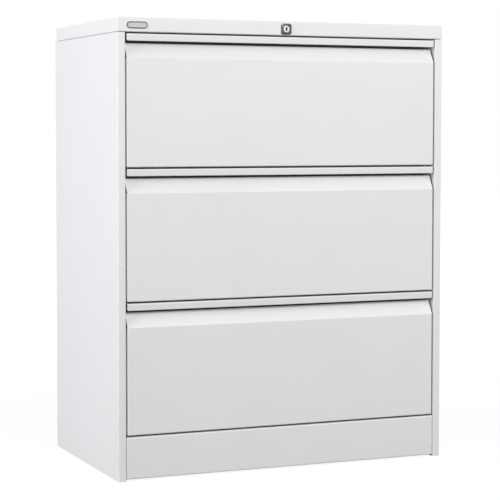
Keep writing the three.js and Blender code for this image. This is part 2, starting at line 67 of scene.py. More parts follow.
def measure(node):
    """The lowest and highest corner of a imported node, in millimetres from the foot of the front."""
    low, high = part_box(node)
    return (low - front_foot) / MM, (high - front_foot) / MM


ROWS = ("top", "middle", "bottom")
row_foot = {row: measure(f"{row}_drawer_front")[0].z for row in ROWS}
print("drawer feet over the floor, mm:", {row: round(foot, 1) for row, foot in row_foot.items()})

# %% [markdown]
# ## The camera
# The photograph was taken with a long lens from about four metres away, to the left of the cabinet and
# level with its top drawer. The lens is shifted down a little, as an architect's camera is, so that the
# uprights lean less. A camera could be aimed with a constraint, but three plain turns keep its roll exact.

# %% Camera
CAMERA_AT = Vector((-1.5736, -3.7444, 0.7735))
CAMERA_YAW = math.radians(22.936)
CAMERA_PITCH = math.radians(3.051)
CAMERA_ROLL = math.radians(0.051)

eye = bpy.data.cameras.new("eye")
eye.sensor_width = 36
eye.lens = 122.50
eye.shift_y = -0.06
camera = bpy.data.objects.new("camera", eye)
camera.matrix_world = (
    Matrix.Translation(CAMERA_AT)
    @ Matrix.Rotation(-CAMERA_YAW, 4, "Z")
    @ Matrix.Rotation(math.pi / 2 - CAMERA_PITCH, 4, "X")
    @ Matrix.Rotation(CAMERA_ROLL, 4, "Z")
)
bpy.context.scene.collection.objects.link(camera)
bpy.context.scene.camera = camera

# %% [markdown]
# ## The studio
# A catalogue picture has a white sweep and large soft lamps. The world here does two jobs: rays that
# come from the camera, or by way of gloss or glass, see plain white, and diffuse rays get a weak dome of
# light, so that narrow gaps stay dark. Light Path tells the two kinds of ray apart.

# %% A helper for shader nodes, and the world
bpy.context.scene.view_settings.view_transform = "Standard"


def add_node(tree, kind, values=None, **settings):
    """One shader node, with its settings, and for each socket a value or the output that feeds it."""
    made = tree.nodes.new(kind)
    for name, value in settings.items():
        setattr(made, name, value)
    for socket, value in (values or {}).items():
        if isinstance(value, bpy.types.NodeSocket):
            tree.links.new(value, made.inputs[socket])
        else:
            made.inputs[socket].default_value = value
    return made


def seen_directly(tree):
    """1 for camera, glossy and transmission rays, 0 for the rest."""
    path = add_node(tree, "ShaderNodeLightPath")
    total = path.outputs["Is Camera Ray"]
    for kind in ("Is Glossy Ray", "Is Transmission Ray"):
        either = add_node(tree, "ShaderNodeMath", {0: total, 1: path.outputs[kind]}, operation="MAXIMUM")
        total = either.outputs[0]
    return total


DOME = 0.29

world = bpy.context.scene.world or bpy.data.worlds.new("studio")
bpy.context.scene.world = world
world.use_nodes = True
sky = world.node_tree
sky.nodes.clear()
dome = add_node(sky, "ShaderNodeBackground", {"Color": (1, 1, 1, 1), "Strength": DOME})
white = add_node(sky, "ShaderNodeBackground", {"Color": (1, 1, 1, 1), "Strength": 1})
either_sky = add_node(sky, "ShaderNodeMixShader", {
    0: seen_directly(sky), 1: dome.outputs[0], 2: white.outputs[0],
})
add_node(sky, "ShaderNodeOutputWorld", {"Surface": either_sky.outputs[0]})
print("dome strength", DOME)

# %% [markdown]
# ## The floor
# The floor is a large grey plane that looks white. It reflects little stray light back up, because in the
# photograph the undersides are dark. Seen directly it also glows, just enough to reach white where it is
# lit. Further off, where the lamps hardly reach, the glow alone is white, so that no horizon shows and
# only the soft shadow is left.

# %% Floor
FLOOR_HALF = 12
FLOOR_COLOUR = (0.12, 0.12, 0.12, 1)
GLOW_NEAR = 0.92
GLOW_FAR = 1.0
GLOW_REACH = (0.8, 2.2)

paper = bpy.data.materials.new("paper_sweep")
paper.use_nodes = True
sheet = paper.node_tree
sheet.nodes.clear()
place = add_node(sheet, "ShaderNodeTexCoord").outputs["Object"]
distance = add_node(sheet, "ShaderNodeVectorMath", {0: place}, operation="LENGTH").outputs["Value"]
rise = add_node(sheet, "ShaderNodeMapRange", {
    "Value": distance, "From Min": GLOW_REACH[0], "From Max": GLOW_REACH[1],
    "To Min": GLOW_NEAR, "To Max": GLOW_FAR,
})
seen = seen_directly(sheet)
amount = add_node(sheet, "ShaderNodeMath", {0: seen, 1: rise.outputs[0]}, operation="MULTIPLY")
glow = add_node(sheet, "ShaderNodeEmission", {"Color": (1, 1, 1, 1), "Strength": amount.outputs[0]})
matt = add_node(sheet, "ShaderNodeBsdfDiffuse", {"Color": FLOOR_COLOUR})
both = add_node(sheet, "ShaderNodeAddShader", {0: matt.outputs[0], 1: glow.outputs[0]})
add_node(sheet, "ShaderNodeOutputMaterial", {"Surface": both.outputs[0]})

bm = bmesh.new()
bmesh.ops.create_grid(bm, x_segments=1, y_segments=1, size=FLOOR_HALF)
floor_mesh = bpy.data.meshes.new("floor")
bm.to_mesh(floor_mesh)
bm.free()
floor_mesh.materials.append(paper)
floor = bpy.data.objects.new("floor", floor_mesh)
bpy.context.scene.collection.objects.link(floor)
print("floor", 2 * FLOOR_HALF, "m square")

# %% [markdown]
# ## The lamps
# Softboxes make the shading of the photograph. A large one on the left makes the side a little brighter
# and cooler than the front. One in front hangs high enough to leave the finger pulls in the shadow of
# their lips, and its light fades down the drawers. A weaker one on the right lifts the far end. Area
# lamps are soft in proportion to their size.

# %% Lamps
LEFT_TINT = (0.965, 0.958, 1.0)
FRONT_TINT = (1.0, 1.0, 0.99)
LAMP_AIM = Vector((0.0, -0.1, 0.55))


def softbox(name, place, size, power, tint=FRONT_TINT):
    """A square area lamp that looks from its place towards the cabinet."""
    lamp = bpy.data.lights.new(name, "AREA")
    lamp.shape = "SQUARE"
    lamp.size = size
    lamp.energy = power
    lamp.color = tint
    stand = bpy.data.objects.new(name, lamp)
    stand.location = place
    stand.rotation_mode = "QUATERNION"
    stand.rotation_quaternion = (LAMP_AIM - Vector(place)).to_track_quat("-Z", "Y")
    bpy.context.scene.collection.objects.link(stand)
    print("softbox", name, size, "m,", power, "W")
    return stand


softbox("left_softbox", (-3.46, -0.6, 1.42), 1.6, 96, LEFT_TINT)
softbox("front_softbox", (0.53, -3.9, 2.26), 1.4, 95)
softbox("right_softbox", (2.72, -2.55, 2.18), 1.4, 27)

# %% [markdown]
# ## A helper for finishes
# No real surface is one flat colour. Each finish here has a coarse noise, which mixes two tones of its
# colour, and a fine noise, which varies its roughness and raises a slight bump. Both read Object
# coordinates, in metres, so that they keep their size and stay on the piece when it moves. A fine noise
# can be stretched along an axis where the metal was drawn.

# %% Helper for finishes
NOISE_LOW, NOISE_HIGH = 0.3, 0.7
SOCKETS = {"shine": "Specular IOR Level", "metallic": "Metallic"}


def noise(tree, place, scale, detail, stretch=None):
    """A noise at a scale, given per metre."""
    if stretch:
        place = add_node(tree, "ShaderNodeMapping", {"Vector": place, "Scale": stretch}).outputs["Vector"]
    grain = add_node(tree, "ShaderNodeTexNoise", {"Vector": place, "Scale": scale, "Detail": detail})
    return grain.outputs["Fac"]


def make_finish(name, dark, light, coarse, fine, rough, bump, **values):
    """A material between two tones. Each noise is a scale and a detail, a bump a strength and a depth."""
    finish = bpy.data.materials.new(name)
    finish.use_nodes = True
    tree = finish.node_tree
    shader = tree.nodes["Principled BSDF"]
    place = add_node(tree, "ShaderNodeTexCoord").outputs["Object"]
    grain = noise(tree, place, *fine)
    tones = add_node(tree, "ShaderNodeValToRGB", {"Fac": noise(tree, place, *coarse)})
    for stop, at, colour in zip(tones.color_ramp.elements, (NOISE_LOW, NOISE_HIGH), (dark, light)):
        stop.position = at
        stop.color = (*colour, 1)
    spread = add_node(tree, "ShaderNodeMapRange", {
        "Value": grain, "From Min": NOISE_LOW, "From Max": NOISE_HIGH,
        "To Min": rough[0], "To Max": rough[1],
    })
    dimples = add_node(tree, "ShaderNodeBump", {"Height": grain, "Strength": bump[0], "Distance": bump[1]})
    tree.links.new(tones.outputs["Color"], shader.inputs["Base Color"])
    tree.links.new(spread.outputs[0], shader.inputs["Roughness"])
    tree.links.new(dimples.outputs["Normal"], shader.inputs["Normal"])
    for socket, value in values.items():
        shader.inputs[SOCKETS[socket]].default_value = value
    return finish


print("noise runs from about", NOISE_LOW, "to", NOISE_HIGH)

# %% [markdown]
# ## Powder coat
# The cabinet is sprayed with white powder and baked. The skin is smooth with a low sheen, and close up
# it has the fine dimples of an orange's peel. Its white is never perfectly even either, so a slow noise
# shifts the colour by about one part in a hundred. A second, dark grey copy of the coat is painted
# shade: it goes inside the finger pulls, so that their pockets read dark under the lips.

# %% Powder coat
POWDER = {"coarse": (7, 3), "fine": (620, 2), "rough": (0.40, 0.52), "bump": (0.12, 0.0003), "shine": 0.4}

paint = make_finish("powder_coat", (0.796, 0.811, 0.805), (0.812, 0.827, 0.821), **POWDER)
# Painted shade: a dark grey copy of the powder coat for the inside of the finger-pull pockets.
pocket_painted_shade = make_finish("pocket_painted_shade", (0.15, 0.155, 0.155), (0.22, 0.225, 0.225), **POWDER)
print("coats:", paint.name, pocket_painted_shade.name)

# %% [markdown]
# ## Bare metals
# The slides, rails and locking gear are plated with zinc: grey, a little cloudy, with faint lines along
# the direction in which the strip was rolled. The lock's core is bright nickel and its square collar a
# dark chrome. All are metallic shaders, told apart by colour, roughness and grain.

# %% Zinc, nickel and dark chrome
METAL_DEPTH = 0.0002

zinc = make_finish(
    "zinc_plate", (0.50, 0.52, 0.55), (0.60, 0.61, 0.62), coarse=(60, 4), fine=(900, 3, (1, 0.04, 1)),
    rough=(0.26, 0.42), bump=(0.08, METAL_DEPTH), metallic=1,
)
nickel = make_finish(
    "nickel_plate", (0.70, 0.68, 0.64), (0.78, 0.76, 0.72), coarse=(200, 4), fine=(2500, 3),
    rough=(0.12, 0.22), bump=(0.03, METAL_DEPTH), metallic=1,
)
dark_chrome = make_finish(
    "dark_chrome_plate", (0.08, 0.074, 0.083), (0.115, 0.107, 0.12), coarse=(300, 4), fine=(3000, 3),
    rough=(0.14, 0.22), bump=(0.04, METAL_DEPTH), metallic=1,
)
print("metals:", zinc.name, nickel.name, dark_chrome.name)

# %% [markdown]
# ## Badge, keyhole and feet
# The badge is a plain capsule plate: a dark rim round a satin field. The keyhole's walls and floor are
# painted near black and hardly shine, as painted shade for the deep slot. The feet are black nylon, which
# is moulded and has a fine matt grain. In these the same grain sets tone, roughness and bump.

# %% Badge satin, dark enamel, painted keyhole shade and black nylon
MOULD_DEPTH = 0.0002


def moulded(name, dark, light, rough, scale, strength, shine=0.5):
    """A plastic or enamel: even colour, matt grain."""
    grain = (scale, 3)
    return make_finish(name, dark, light, grain, grain, rough, (strength, MOULD_DEPTH), shine=shine)


badge_satin = moulded("badge_satin", (0.50, 0.50, 0.49), (0.56, 0.56, 0.55), (0.35, 0.5), 900, 0.05)
badge_enamel = moulded(
    "badge_enamel", (0.022, 0.022, 0.024), (0.03, 0.03, 0.033), (0.25, 0.35), 1500, 0.03,
)
nylon = moulded("black_nylon", (0.016, 0.016, 0.017), (0.024, 0.024, 0.025), (0.45, 0.6), 1800, 0.15)
# Painted shade: the near-black walls of the keyhole stand for the shade inside the slot.
keyhole_painted_shade = moulded(
    "keyhole_painted_shade", (0.008, 0.008, 0.009), (0.014, 0.014, 0.015), (0.8, 0.95), 1500, 0.05, shine=0.05,
)
finishes = {
    "paint": paint, "zinc": zinc, "nickel": nickel,
    "dark_chrome": dark_chrome, "badge": badge_satin, "foot": nylon,
}
print("finishes for the record's slots:", ", ".join(finishes))

# %% [markdown]
# ## Folding sheet metal
# Nearly every piece is one sheet with straight folds. It could be modelled as a thin box with its edges
# bevelled, but a bender works from a centre line, and so does this helper: it draws the line with a few
# vertices, extrudes it along the fold, and bevels each fold line to the bend's radius. Later a
# Solidify modifier gives the wall, half to each side, and a small Bevel softens the cut edges.

# %% Fold a sheet
SHEET = 1.0
HALF_SHEET = SHEET / 2
BEND = 2.0
FOLD_STEPS = 4
FOLD_ROOM = 0.49
PARALLEL = 0.999
ALONG = {"x": Vector((1, 0, 0)), "y": Vector((0, 1, 0)), "z": Vector((0, 0, 1))}


def spot(axis, across, run, rise=0):
    """A point in metres: two measures across the fold's axis and one along it, all in millimetres."""
    first, second = across
    place = {"x": (run, first, second), "y": (first, run, second), "z": (first, second, run)}[axis]
    return front_foot + (Vector(place) + Vector((0, 0, rise))) * MM


def is_along(edge, direction):
    return abs((edge.verts[1].co - edge.verts[0].co).normalized().dot(direction)) > PARALLEL


def verts_in(parts):
    return [part for part in parts if isinstance(part, bmesh.types.BMVert)]


def round_fold(bm, offset, *edges):
    """Replace fold lines by round bends."""
    bmesh.ops.bevel(
        bm, geom=edges, offset=offset * MM, offset_type="OFFSET", segments=FOLD_STEPS,
        profile=0.5, affect="EDGES", material=-1,
    )


def fold_sheet(bm, axis, line, span, rise=0, bend=BEND):
    """Sweep a centre line along an axis and round every fold in it."""
    near = [bm.verts.new(spot(axis, point, span[0], rise)) for point in line]
    runs = [bm.edges.new(pair) for pair in zip(near, near[1:])]
    far = verts_in(bmesh.ops.extrude_edge_only(bm, edges=runs)["geom"])
    bmesh.ops.translate(bm, verts=far, vec=ALONG[axis] * (span[1] - span[0]) * MM)
    flat = [Vector(point) for point in line]
    for i in range(1, len(line) - 1):
        before, after = flat[i] - flat[i - 1], flat[i + 1] - flat[i]
        room = FOLD_ROOM * min(before.length, after.length)
        offset = min(bend * math.tan(before.angle(after) / 2), room)
        round_fold(bm, offset, next(e for e in near[i].link_edges if is_along(e, ALONG[axis])))


def mirrored(line):
    """A line and its mirror image across the middle of the cabinet, as one line."""
    return [*line, *[(-first, second) for first, second in reversed(line)]]


print("a fold has", FOLD_STEPS, "steps at a radius of", BEND, "mm")

# %% [markdown]
# ## Flaps across the ends
# Many sheets have flaps at right angles to their long folds, as a carton has. A flap is grown by extruding
# an open edge, and that edge is then rounded like any other fold. Lists keep the parts of a mesh in a
# steady order, which a set would not.

# %% Grow flaps


def open_edge(bm, **place):
    """The longest open edge of a sheet whose two ends have the given x, y or z, in millimetres."""
    wanted = [(axis, getattr(front_foot, axis) + value * MM) for axis, value in place.items()]

    def lies_there(edge):
        return edge.is_boundary and all(
            abs(getattr(vert.co, axis) - value) < 1e-5 for vert in edge.verts for axis, value in wanted
        )

    return max(filter(lies_there, bm.edges), key=lambda edge: edge.calc_length())


def grow_flap(bm, edge, direction, length):
    """Grow a flap from an open edge, and return the flap's own free edge."""
    tips = verts_in(bmesh.ops.extrude_edge_only(bm, edges=[edge])["geom"])
    bmesh.ops.translate(bm, verts=tips, vec=Vector(direction) * length * MM)
    return next(part for part in tips[0].link_edges if part.other_vert(tips[0]) == tips[1])


def parts_of(faces):
    """Some faces with their edges and corners, each once and in a steady order."""
    edges = [edge for face in faces for edge in face.edges]
    verts = [vert for face in faces for vert in face.verts]
    return list(dict.fromkeys([*faces, *edges, *verts]))


print("flaps grow from open edges")

# %% [markdown]
# ## Finishing a piece
# A finished piece has real thickness, soft edges and even shading. The modifiers are made part of the
# mesh, so that sharp creases can be marked on the final faces, and a Weighted Normal modifier keeps the
# broad flat faces flat beside their narrow bends. Then the piece takes its finish, rides on its body and
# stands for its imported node.

# %% Finish a piece
SOFT_EDGE = 0.2
CREASE = math.radians(40)


def settle(piece):
    """Make the result of the modifiers the piece's own mesh."""
    graph = bpy.context.evaluated_depsgraph_get()
    done = bpy.data.meshes.new_from_object(piece.evaluated_get(graph))
    piece.modifiers.clear()
    piece.data = done


def finish_piece(bm, name, finish, body, stands_for=(), wall=0.0, soft=SOFT_EDGE, extra=()):
    """Turn a bmesh into a finished piece that moves with a body."""
    mesh = bpy.data.meshes.new(name)
    bm.to_mesh(mesh)
    bm.free()
    for material in (finish, *extra):
        mesh.materials.append(material)
    piece = bpy.data.objects.new(name, mesh)
    bpy.context.scene.collection.objects.link(piece)
    if wall:
        thicken = piece.modifiers.new("wall", "SOLIDIFY")
        thicken.thickness = wall * MM
        thicken.offset = 0
        thicken.use_even_offset = True
    if soft:
        soften = piece.modifiers.new("soft_edge", "BEVEL")
        soften.width = soft * MM
        soften.segments = 2
        soften.limit_method = "ANGLE"
        soften.angle_limit = CREASE
        soften.use_clamp_overlap = False
    settle(piece)
    piece.data.name = name
    piece.data.polygons.foreach_set("use_smooth", [True] * len(piece.data.polygons))
    piece.data.set_sharp_from_angle(angle=CREASE)
    flatten = piece.modifiers.new("flat_faces", "WEIGHTED_NORMAL")
    flatten.keep_sharp = True
    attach(piece, body)
    if stands_for:
        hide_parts(*stands_for)
    print(name, "has", len(piece.data.polygons), "faces and rides on", body)
    return piece


# %% [markdown]
# ## Side panels
# Each side is one sheet: a flange at the rear, the broad side, the narrow stile beside the drawers, and
# a deep return behind the stile. Its top edge turns in under the cap with a tighter fold, so that the
# seam there is only a thin line. The plan is folded along Z, then the side's top edge is extruded
# inwards for the flange.

# %% Side panels
HANDS = (("left", -1), ("right", 1))
STILE_RETURN = measure("upper_cross_rail")[1].y + SHEET
REAR_FLANGE = 16
STILE_LIP = 10
TOP_FLANGE = 14
TOP_BEND = 1.0

cap_rear = measure("top_cap")[1].y

for hand, side in HANDS:
    low, high = measure(f"{hand}_side_panel")
    outer = side * (max(abs(low.x), abs(high.x)) - HALF_SHEET)
    inner = side * (min(abs(low.x), abs(high.x)) + HALF_SHEET)
    plan = [
        (outer - side * (REAR_FLANGE - HALF_SHEET), high.y - HALF_SHEET),
        (outer, high.y - HALF_SHEET),
        (outer, low.y + HALF_SHEET),
        (inner, low.y + HALF_SHEET),
        (inner, STILE_RETURN),
        (inner + side * (STILE_LIP - HALF_SHEET), STILE_RETURN),
    ]
    bm = bmesh.new()
    fold_sheet(bm, "z", plan, (low.z, high.z - HALF_SHEET))
    flange_end = spot("x", (cap_rear - 2 * SHEET, 0), 0)
    bmesh.ops.bisect_plane(bm, geom=parts_of(bm.faces), dist=1e-6, plane_co=flange_end, plane_no=ALONG["y"])
    fold = open_edge(bm, x=outer, z=high.z - HALF_SHEET)
    grow_flap(bm, fold, (-side, 0, 0), TOP_FLANGE)
    round_fold(bm, TOP_BEND, fold)
    finish_piece(bm, f"{hand}_side_skin", paint, "carcass", [f"{hand}_side_panel"], wall=SHEET)

# %% [markdown]
# ## A punched hole
# The cap's front has a round hole for the lock. A Boolean would cut it too, but it is punched here as a
# press would do it: a square is cut free in the face, inset, and its inner loop is pulled to a circle and
# opened. The faces around it stay clean.

# %% Punch
HOLE_MARGIN = 0.3
HOLE_CUTS = 7


def face_at(bm, point):
    """The flat face that a point lies in."""
    bm.normal_update()
    level = [face for face in bm.faces if abs((face.verts[0].co - point).dot(face.normal)) < 1e-6]
    return next(face for face in level if bmesh.geometry.intersect_face_point(face, point))


def punch(bm, centre, radius):
    """A round hole in an upright face that looks forward."""
    for direction in (ALONG["x"], -ALONG["x"], ALONG["z"], -ALONG["z"]):
        face = face_at(bm, centre)
        line = centre + direction * (radius + HOLE_MARGIN) * MM
        bmesh.ops.bisect_plane(bm, geom=parts_of([face]), dist=1e-7, plane_co=line, plane_no=direction)
    square = face_at(bm, centre)
    bmesh.ops.inset_individual(bm, faces=[square], thickness=HOLE_MARGIN / 2 * MM)
    bmesh.ops.bisect_edges(bm, edges=list(square.edges), cuts=HOLE_CUTS)
    for vert in square.verts:
        vert.co = centre + (vert.co - centre).normalized() * radius * MM
    bmesh.ops.delete(bm, geom=[square], context="FACES_ONLY")


print("a punched hole has", 4 * (HOLE_CUTS + 1), "sides")

# %% [markdown]
# ## Top cap
# The lid is a shallow box, open below, with a turned-in rim, and its front rim runs on behind the top
# drawer's lip and turns down there. The box starts as a cube: its underside is inset for the rim and
# opened, then all its edges are bevelled at once, which also mitres the corners as a press does.

# %% Top cap
CAP_RIM = 14
CAP_BEND = 2.0
CAP_SEAM = 0.6
LOCK_HOLE = 9.8

low, high = measure("top_cap")
cap_foot = measure("right_side_panel")[1].z + CAP_SEAM
bm = bmesh.new()
bmesh.ops.create_cube(bm, size=1)
box_low = Vector((low.x, low.y, cap_foot)) + Vector((1, 1, 1)) * HALF_SHEET
box_high = high - Vector((1, 1, 1)) * HALF_SHEET
bmesh.ops.scale(bm, verts=bm.verts, vec=(box_high - box_low) * MM)
bmesh.ops.translate(bm, verts=bm.verts, vec=front_foot + (box_low + box_high) / 2 * MM)
underside = min(bm.faces, key=lambda face: face.calc_center_median().z)
box_edges = list(bm.edges)
bmesh.ops.inset_region(bm, faces=[underside], thickness=CAP_RIM * MM)
bmesh.ops.delete(bm, geom=[underside], context="FACES_ONLY")
round_fold(bm, CAP_BEND, *box_edges)
lock_low, lock_high = measure("lock_body")
lock_centre = (lock_low + lock_high) / 2
punch(bm, spot("x", (low.y + HALF_SHEET, lock_centre.z), 0), LOCK_HOLE)
rail_y = measure("upper_cross_rail")[0].y + HALF_SHEET
drop_reach = measure("upper_cross_rail")[1].x
rim_end = low.y + CAP_RIM + HALF_SHEET
drop = [(rail_y, low.z), (rail_y, cap_foot + HALF_SHEET), (rim_end, cap_foot + HALF_SHEET)]
fold_sheet(bm, "x", drop, (-drop_reach, drop_reach))
finish_piece(bm, "cap_skin", paint, "carcass", ["top_cap"], wall=SHEET)

# %% [markdown]
# ## Back panel
# The back is a broad sheet with two long beads pressed outwards to stiffen it, and its edges are turned
# back against the side panels. Only half of its plan is written down, and the helper mirrors it.

# %% Back panel
BEAD_X = 190
BEAD_TOP = 10
BEAD_FOOT = 15
BEAD_DEPTH = 4

low, high = measure("back_panel")
sheet_y = low.y + HALF_SHEET
bead_y = sheet_y + BEAD_DEPTH
edge_x = high.x - HALF_SHEET
half_plan = [
    (edge_x, high.y), (edge_x, sheet_y), (BEAD_X + BEAD_FOOT, sheet_y), (BEAD_X + BEAD_TOP, bead_y),
    (BEAD_X - BEAD_TOP, bead_y), (BEAD_X - BEAD_FOOT, sheet_y),
]
bm = bmesh.new()
fold_sheet(bm, "z", mirrored(half_plan), (low.z, high.z))
finish_piece(bm, "back_skin", paint, "carcass", ["back_panel"], wall=SHEET)

# %% [markdown]
# ## Plinth
# The plinth is the strip under the bottom drawer. All its edges are turned in, so that no light comes
# through beside it. Its long edges are folds of one section, and its ends are flaps.

# %% Plinth
PLINTH_FOOT_RETURN = 16
PLINTH_DROP = 17

low, high = measure("plinth")
section = [
    (PLINTH_FOOT_RETURN, low.z + HALF_SHEET), (HALF_SHEET, low.z + HALF_SHEET),
    (HALF_SHEET, high.z - HALF_SHEET), (high.y - HALF_SHEET, high.z - HALF_SHEET),
    (high.y - HALF_SHEET, high.z - PLINTH_DROP),
]
plinth_end = high.x - HALF_SHEET
bm = bmesh.new()
fold_sheet(bm, "x", section, (-plinth_end, plinth_end))
for side in (-1, 1):
    fold = open_edge(bm, x=side * plinth_end, y=HALF_SHEET)
    grow_flap(bm, fold, ALONG["y"], PLINTH_FOOT_RETURN - SHEET)
    round_fold(bm, BEND, fold)
finish_piece(bm, "plinth_skin", paint, "carcass", ["plinth"], wall=SHEET)

# %% [markdown]
# ## Drawer fronts
# Each front is one sheet from top to bottom: a hemmed lip, a pocket behind it for the fingers, a slope
# that leads the hand in, the broad face and a foot. The ends of the face turn back as side returns, so
# its upright edges are round. The lip leans in a little towards its foot, which makes it a shade darker
# than the face, and its lower corners are clipped round by a few bisecting planes. Last, the faces that
# look into the pocket get a dark grey painted shade, and the outside of the pocket keeps the white coat.

# %% Drawer fronts
HEM_Y = 2.1
LIP_LEAN = 1.3
LIP_FOOT = 275.0
LIP_HEM = 9
SLOPE_TOP = 270.0
SLOPE_FOOT = 238.0
SLOPE_BACK = 18.5
FOOT_LIP = 14
SIDE_RETURN = 15.5
LIP_CORNER = 4.0
CORNER_CUTS = 6


def round_lip_corners(bm, reach, rise):
    """Clip the lip's two lower corners to an arc."""
    deep = spot("x", (HEM_Y + LIP_LEAN + SHEET, 0), 0).y
    foot = spot("x", (0, LIP_FOOT - SHEET), 0, rise).z
    for side in (-1, 1):
        centre = spot("x", (0, LIP_FOOT + LIP_CORNER), side * (reach - LIP_CORNER), rise)
        for cut in range(CORNER_CUTS):
            angle = (cut + 0.5) / CORNER_CUTS * math.pi / 2
            outward = Vector((side * math.sin(angle), 0, -math.cos(angle)))
            middles = {face: face.calc_center_median() for face in bm.faces}
            lip = [face for face, at in middles.items() if at.y < deep and at.z > foot]
            bmesh.ops.bisect_plane(
                bm, geom=parts_of(lip), dist=1e-7, plane_co=centre + outward * LIP_CORNER * MM,
                plane_no=outward, clear_outer=True,
            )


for row in ROWS:
    low, high = measure(f"{row}_drawer_front")
    top = high.z - low.z - HALF_SHEET
    pocket = high.y - HALF_SHEET
    reach = high.x - HALF_SHEET
    hem_lean = LIP_LEAN * (1 - LIP_HEM / (top - LIP_FOOT))
    section = [
        (HEM_Y + hem_lean, LIP_FOOT + LIP_HEM), (HEM_Y + LIP_LEAN, LIP_FOOT + HALF_SHEET),
        (HALF_SHEET + LIP_LEAN, LIP_FOOT + HALF_SHEET), (HALF_SHEET, top), (pocket, top),
        (pocket, SLOPE_TOP), (SLOPE_BACK, SLOPE_TOP), (HALF_SHEET, SLOPE_FOOT),
        (HALF_SHEET, HALF_SHEET), (SLOPE_BACK, HALF_SHEET), (SLOPE_BACK, FOOT_LIP),
    ]
    bm = bmesh.new()
    fold_sheet(bm, "x", section, (-reach, reach), rise=low.z)
    for side in (-1, 1):
        fold = open_edge(bm, x=side * reach, y=HALF_SHEET)
        grow_flap(bm, fold, (0, 1, 0), SIDE_RETURN)
        round_fold(bm, BEND, fold)
    round_lip_corners(bm, reach, low.z)
    shelf_front = spot("x", (SLOPE_BACK, SLOPE_TOP), 0, low.z)
    # Painted shade: the faces of the pocket behind the lip take the dark grey copy of the coat.
    for face in bm.faces:
        middle = face.calc_center_median()
        if middle.y > shelf_front.y and middle.z > shelf_front.z - HALF_SHEET * MM:
            face.material_index = 1
    skin = finish_piece(
        bm, f"{row}_front_skin", paint, f"{row}_drawer", [f"{row}_drawer_front"],
        wall=SHEET, soft=0, extra=(pocket_painted_shade,),
    )
    # Faces that look away from the pocket go back to the white coat, so only the pocket's inside keeps the
    # painted shade.
    pocket_middle = spot("x", ((SLOPE_BACK + pocket) / 2, (SLOPE_TOP + top) / 2), 0, low.z)
    for face in skin.data.polygons:
        inwards = pocket_middle - face.center
        if face.normal.y * inwards.y + face.normal.z * inwards.z < 0:
            face.material_index = 0

# %% [markdown]
# ## Inside the drawers
# A liner, a shallow pan, closes the back of each folded front. The tray behind it is folded like a
# carton from one blank: floor, two walls with hems along their tops, a rear wall with a hem, and two
# narrow flanges towards the front. The helper folds floor, walls and hems, the other flaps grow from
# their open edges, and slots are cut down through the hems where the file rails drop in.

# %% Liners and trays
SIDE_HEM = 10
REAR_HEM = 8
FRONT_FLANGE = 12
SLOT_PLAY = 0.3


def cut_slots(bm, span, foot):
    """Open a slot through the top of both walls, over a span along the drawer and down to a height."""
    near, far = (spot("x", (y, foot), 0) for y in span)
    for place, across in ((near, ALONG["y"]), (far, ALONG["y"]), (near, ALONG["z"])):
        walls = [face for face in bm.faces if abs(face.calc_center_median().x) > FRONT_FLANGE * MM]
        bmesh.ops.bisect_plane(bm, geom=parts_of(walls), dist=1e-6, plane_co=place, plane_no=across)
    middles = {face: face.calc_center_median() for face in bm.faces}
    waste = [face for face, at in middles.items() if near.y < at.y < far.y and at.z > near.z]
    bmesh.ops.delete(bm, geom=waste, context="FACES")


for row in ROWS:
    low, high = measure(f"{row}_drawer_liner")
    face_y, top, foot = high.y - HALF_SHEET, high.z - HALF_SHEET, low.z + HALF_SHEET
    bm = bmesh.new()
    fold_sheet(bm, "x", [(low.y, top), (face_y, top), (face_y, foot), (low.y, foot)], (low.x, high.x))
    body = f"{row}_drawer"
    finish_piece(bm, f"{row}_liner_pan", paint, body, [f"{row}_drawer_liner"], wall=SHEET)

    low, high = measure(f"{row}_drawer_tray")
    wall, top, foot = high.x - HALF_SHEET, high.z - HALF_SHEET, low.z + HALF_SHEET
    front_y, rear_y = low.y + HALF_SHEET, high.y - REAR_HEM - HALF_SHEET
    bm = bmesh.new()
    fold_sheet(bm, "y", mirrored([(SIDE_HEM - wall, top), (-wall, top), (-wall, foot)]), (front_y, rear_y))
    rear_fold = open_edge(bm, y=rear_y, z=foot)
    hem_fold = grow_flap(bm, rear_fold, (0, 0, 1), top - foot)
    grow_flap(bm, hem_fold, (0, 1, 0), high.y - rear_y)
    round_fold(bm, BEND, rear_fold)
    round_fold(bm, BEND, hem_fold)
    for side in (-1, 1):
        fold = open_edge(bm, x=side * wall, y=front_y)
        grow_flap(bm, fold, (-side, 0, 0), FRONT_FLANGE)
        round_fold(bm, BEND, fold)
    for end in ("front", "rear"):
        rail_low, rail_high = measure(f"{row}_drawer_file_rail_{end}")
        cut_slots(bm, (rail_low.y - SLOT_PLAY, rail_high.y + SLOT_PLAY), rail_low.z - SLOT_PLAY)
    finish_piece(bm, f"{row}_tray_pan", paint, body, [f"{row}_drawer_tray"], wall=SHEET)

# %% [markdown]
# ## File rails and catches
# Hanging files ride on two zinc-plated flat bars on edge, whose corners are rolled round so that the
# hooks slide. The catch is a small folded bracket riveted to the tray's rear wall: when the lock bar
# drops, its hook falls behind the bracket's raised lip. The rivets' domes are half spheres, cut by a
# plane and pressed flat.

# %% File rails and catches
HEAVY_SHEET = 1.5
RAIL_ROUND = 0.7
CATCH_SHELF = 21
RIVET = 2.4
RIVET_RISE = 1.1
RIVET_SIDES = 16
RIVET_RINGS = 8
RIVET_X = 8.5
RIVET_UP = 9


def open_edges_in(parts):
    return [part for part in parts if isinstance(part, bmesh.types.BMEdge) and part.is_boundary]


